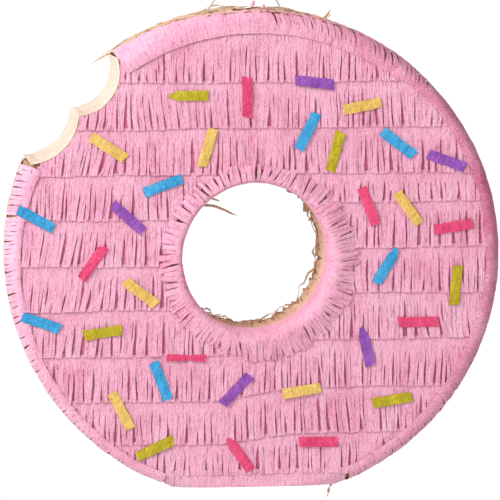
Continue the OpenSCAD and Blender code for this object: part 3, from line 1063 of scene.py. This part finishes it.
# a narrow strip of paper along a route, turning by twist, in whole turns
def ribbon(route, width, twist=0.0, steps=6, thickness=0.3 * mm):
    line = curvePath(route, steps)
    rings = []
    for i, (side, up) in enumerate(lineFrames(line)):
        t = i / (len(line) - 1)
        angle = 2 * math.pi * twist * t
        cross = math.cos(angle) * side + math.sin(angle) * up
        half = width / 2 * min(1, 0.35 + 4 * min(t, 1 - t))
        normal = cross.cross(line[min(i + 1, len(line) - 1)] - line[max(i - 1, 0)]).normalized()
        rings.append([line[i] - cross * half, line[i] + normal * thickness,
                      line[i] + cross * half, line[i] - normal * thickness])
    return rings


def curl(route, rng, thin, wide):
    return ribbon(route, rng.uniform(thin, wide) * mm, twist=rng.uniform(-1, 1))


def handRibbon(points, width, twist):  # points from the donut's centre and width, mm
    return ribbon([place(*(c * mm for c in p)) for p in points], width * mm, twist)


def strandPiece(name, ribbons, paper, slot="tan_tissue"):
    points, faces = [], []
    for rings in ribbons:
        faces += tubeFaces(len(points), len(rings), 4)
        points += [p for ring in rings for p in ring]
    piece = meshPiece(name, points, faces, paper)
    cloth = bmesh.new()
    cloth.from_mesh(piece.data)
    bmesh.ops.recalc_face_normals(cloth, faces=cloth.faces)
    cloth.to_mesh(piece.data)
    cloth.free()
    finishPiece(piece, slot)


holeLoops = [  # start and end angle, how far it rises off the wall in mm, how deep in mm
    (33, 20, 5, 26), (6, -13, 8, 30), (-14, -48, 9, 33), (-50, -69, 6, 34), (-78, -100, 3.5, 30),
    (-100, -118, 4.5, 34), (-118, -127, 5, 28), (-152, -160, 6, 30), (58, 50, 4, 24),
    (176, 197, 3.2, 30), (88, 80, 3, 33), (110, 97, 3, 30), (-60, -82, 4, 36), (25, 8, 4, 36)]


def makeHoleStrands():
    rng = random.Random(5)
    ribbons = []
    for start, end, rise, deep in holeLoops:
        route = []
        for k in range(9):
            t = k / 8
            angle = math.radians(start + (end - start) * t)
            up = (rise * 0.8 - 0.5) * mm * math.sin(math.pi * t) ** 0.8 * rng.uniform(0.8, 1.2)
            route.append(polar(62.5 * mm - up, angle, (deep - 8 * t) * mm))
        ribbons.append(curl(route, rng, 1.2, 2.0))
    ribbons.append(handRibbon(
        [(-50, 24, 37), (-44, 22, 38.4), (-35, 20, 38.2), (-27.6, 20, 37.4), (-18.4, 20, 33.8),
         (-13, 20, 31), (-8.4, 20, 29.4)], 2.2, 0.3))
    ribbons.append(handRibbon(
        [(-43, 28, 45), (-38, 24, 45.6), (-31.8, 20, 44.4), (-27, 20, 43), (-23, 20, 41.6)],
        1.6, 0.2))
    for k in range(46):  # short curls along the far edge of the hole
        angle = rng.uniform(0, 2 * math.pi)
        turn = rng.uniform(0.04, 0.12) * rng.choice((-1, 1))
        rise = rng.uniform(0.2, 1.5) * mm
        route = [polar(62.6 * mm - rise * math.sin(math.pi * t / 1.25), angle + turn * t,
                       (39 - 9 * t) * mm) for t in (0, 0.25, 0.5, 0.75, 1)]
        ribbons.append(curl(route, rng, 0.9, 2.2))
    strandPiece("holeStrands", ribbons, tanCurl)
    print("hole strands", len(ribbons))


topSettings = {"count": 130, "radius": rimRadius}


def makeTopStrands(s):
    rng = random.Random(29)
    ribbons = []
    for k in range(s["count"]):
        angle = math.radians(rng.uniform(-62, 122) if k % 3 else rng.uniform(55, 118))
        turn = rng.uniform(0.05, 0.14) * rng.choice((-1, 1))
        rise = rng.uniform(0.0, 0.7) * mm
        y0, y1 = rng.uniform(-6, 34) * mm, rng.uniform(-6, 34) * mm
        route = [polar(s["radius"] + rise * math.sin(math.pi * t) + 0.3 * mm, angle + turn * t,
                       y0 + (y1 - y0) * t) for t in (0, 0.25, 0.5, 0.75, 1)]
        ribbons.append(curl(route, rng, 0.9, 2.4))
    hand = [  # strands that stand off the skyline: points and width, mm
        ([(-48, 10, 198), (-40, 10, 200.5), (-33, 10, 204.6), (-26, 10, 206), (-19, 10, 204.4),
          (-15, 10, 202.8)], 1.3, 1.2),
        ([(-44, 2, 198.8), (-35, 3, 200.6), (-27, 3, 202.4), (-20, 3, 203), (-12, 3, 203.2)],
         1.2, 0.8),
        ([(58, 10, 194.2), (63, 8, 195), (66, 6, 198.5), (68, 5, 202)], 2.0, 0.4),
        ([(62, 8, 193.2), (66, 7, 195.4), (68, 6, 198)], 1.2, -0.4)]
    strandPiece("topStrands", ribbons + [handRibbon(*strand) for strand in hand], tanCurl)
    base = [(71, -12, -188.6), (69, -12, -191), (66.8, -12, -194), (65.2, -12, -197.4),
            (64.4, -12, -201), (63.8, -12, -204.5)]
    strandPiece("baseStrand", [handRibbon(base, 2.2, 1.6), handRibbon(base[::-1], 1.4, 1.1)],
                tanCurl)
    wisps = [
        ([(-14, -30, 201.4), (-6, -16, 203.6), (0, 0, 204), (3, 8, 205.8), (4.5, 10, 209.5)],
         3.6, 0.1),
        ([(0, -28, 202), (6, -14, 203.8), (10, -4, 204), (11.6, 0, 207)], 2.6, 0.15),
        ([(-20, -30, 200.8), (-14, -18, 203.2), (-6, -8, 203.6), (6, 2, 203.8)], 4.0, 0.05)]
    strandPiece("pinkWisps", [handRibbon(*wisp) for wisp in wisps], pinkPlain, "pink_tissue")
    print("top strands", len(ribbons))


makeHoleStrands()
makeTopStrands(topSettings)


def makeFlapCover(s):
    low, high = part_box("flap_cover")
    rng = random.Random(97)
    tongues = []
    top, bottom = high[2] - centre.z, low[2] - centre.z
    middle = (top + bottom) / 2
    for zTop, zLow, depth in ((middle + 1 * mm, bottom, 38.9), (top, middle - 2 * mm, 39.2)):
        tongues += backTongues(zTop, zLow, low[0], high[0], lambda x, z: True, depth * mm, s, rng)
    piece = fringe("flapCover", tongues, tanCrepe, Seed=301, **{**s["fringe"], "Lift": 0.5})
    for vertex in piece.data.vertices:  # the cover ends at the flap's own edges
        vertex.co.x = min(high[0], max(low[0], vertex.co.x))
        vertex.co.z = max(low[2] - 1 * mm, vertex.co.z)
    finishPiece(piece, "tan_tissue", "flap_cover", body="flap")


def makeFlapTape():
    low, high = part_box("flap_tape_lower")
    low2, high2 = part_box("flap_tape_upper")
    bottom, top = min(low[2], low2[2]), max(high[2], high2[2])
    x0, x1 = min(low[0], low2[0]), max(high[0], high2[0])

    def surface(u, v):
        z = top + (bottom - top) * v
        x = x1 + (x0 - x1) * u
        ragged = 0.5 * mm * ripple(u * 3, v * 40, 2.0) * abs(2 * u - 1) ** 8
        lift = 0.08 * mm * ripple(u * 20, v * 9, 5.0)
        return Vector((x + ragged, high[1] + 0.15 * mm + lift, z))

    piece = gridPiece("flapTape", surface, 50, 48, maskingTape, 0.25 * mm)
    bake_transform(piece)
    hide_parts("flap_tape_lower", "flap_tape_upper")
    print("flap tape")


def makePullTab():
    low, high = (Vector(p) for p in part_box("flap_pull_tab"))
    wide, tall = high.x - low.x, high.z - low.z
    middle = (low + high) / 2

    def surface(u, v):
        a = (u - 0.5) * 2
        narrow = 1.0
        if v >= 0.6:  # the tab's end is round
            narrow = math.sqrt(max(0.0, 1 - ((v - 0.6) / 0.4) ** 2)) * 0.999 + 0.001
        bow = 0.5 * mm * math.sin(math.pi * v) + 0.2 * mm * ripple(a, v * 3, 1)
        return Vector((middle.x - a * wide / 2 * narrow, high.y - 0.1 * mm + bow,
                       high.z - v * tall))

    piece = gridPiece("flapPullTab", surface, 16, 24, pullTabPaper, 0.5 * mm)
    finishPiece(piece, "cream_paper", "flap_pull_tab", body="flap")


makeFlapCover(backSettings)
makeFlapTape()
makePullTab()


carriedOver = {  # finishes of the parts that come straight from the frame
    "front_panel": card, "back_panel": card, "rim_wall": card, "base_wall": card,
    "bite_wall": card, "hole_tube": card, "hanger_plate": card, "fill_flap": card,
    "front_seam_tape": maskingTape, "back_seam_tape": maskingTape,
    "stopper_knots": twine, "cord_tails": twine}
for name, finish in carriedOver.items():
    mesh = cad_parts[name].data
    mesh.materials.clear()
    mesh.materials.append(finish)


lightSettings = {"sky": 0.82, "lopsided": 0.85, "backdrop": 1.05, "key": 21.0, "fill": 0.2}


def areaLight(name, position, target, power, size):
    light = bpy.data.lights.new(name, "AREA")
    light.energy = power
    light.size = size
    holder = bpy.data.objects.new(name, light)
    scene.collection.objects.link(holder)
    holder.location = position
    holder.rotation_euler = (target - position).to_track_quat("-Z", "Y").to_euler()


def makeLights(s):
    world = bpy.data.worlds.new("softWhite")
    scene.world = world
    world.use_nodes = True
    world.node_tree.nodes.clear()
    n = Nodes(world.node_tree)
    seen = n.out("Is Camera Ray", "ShaderNodeLightPath")
    across = n.out("X", "ShaderNodeSeparateXYZ", {
        "Vector": n.out("Generated", "ShaderNodeTexCoord")})
    sky = (1.0 - across * s["lopsided"]) * s["sky"]  # brighter from the left than from the right
    background = n.out(0, "ShaderNodeBackground", {
        "Color": (1, 1, 1, 1), "Strength": sky * (1.0 - seen) + seen * s["backdrop"]})
    n.add("ShaderNodeOutputWorld", {"Surface": background})
    target = place(0, 0, 0)
    areaLight("key", target + Vector((-1.3, -1.0, 1.1)), target, s["key"], 0.5)
    areaLight("fill", target + Vector((1.9, -1.6, 0.3)), target, s["fill"], 1.4)


floorSettings = {"radius": 2.6, "height": -1.15, "corners": 64}


def makeFloor(s):
    corners, height = s["corners"], s["height"]
    points = [(0, 0, height)]
    for k in range(corners):
        turn = 2 * math.pi * k / corners
        points.append((s["radius"] * math.cos(turn), s["radius"] * math.sin(turn), height))
    faces = [(0, k + 1, (k + 1) % corners + 1) for k in range(corners)]
    paint, n = newMaterial("paleFloor")
    colour = n.ramp(n.noise(n.place(), 3.0), (0.3, (0.80, 0.80, 0.79, 1)),
                    (0.7, (0.84, 0.84, 0.83, 1)))
    shader = n.out(0, "ShaderNodeBsdfPrincipled", {"Roughness": 0.7, "Base Color": colour})
    n.add("ShaderNodeOutputMaterial", {"Surface": shader})
    meshPiece("floor", points, faces, paint, False)


makeLights(lightSettings)
makeFloor(floorSettings)
print("done")
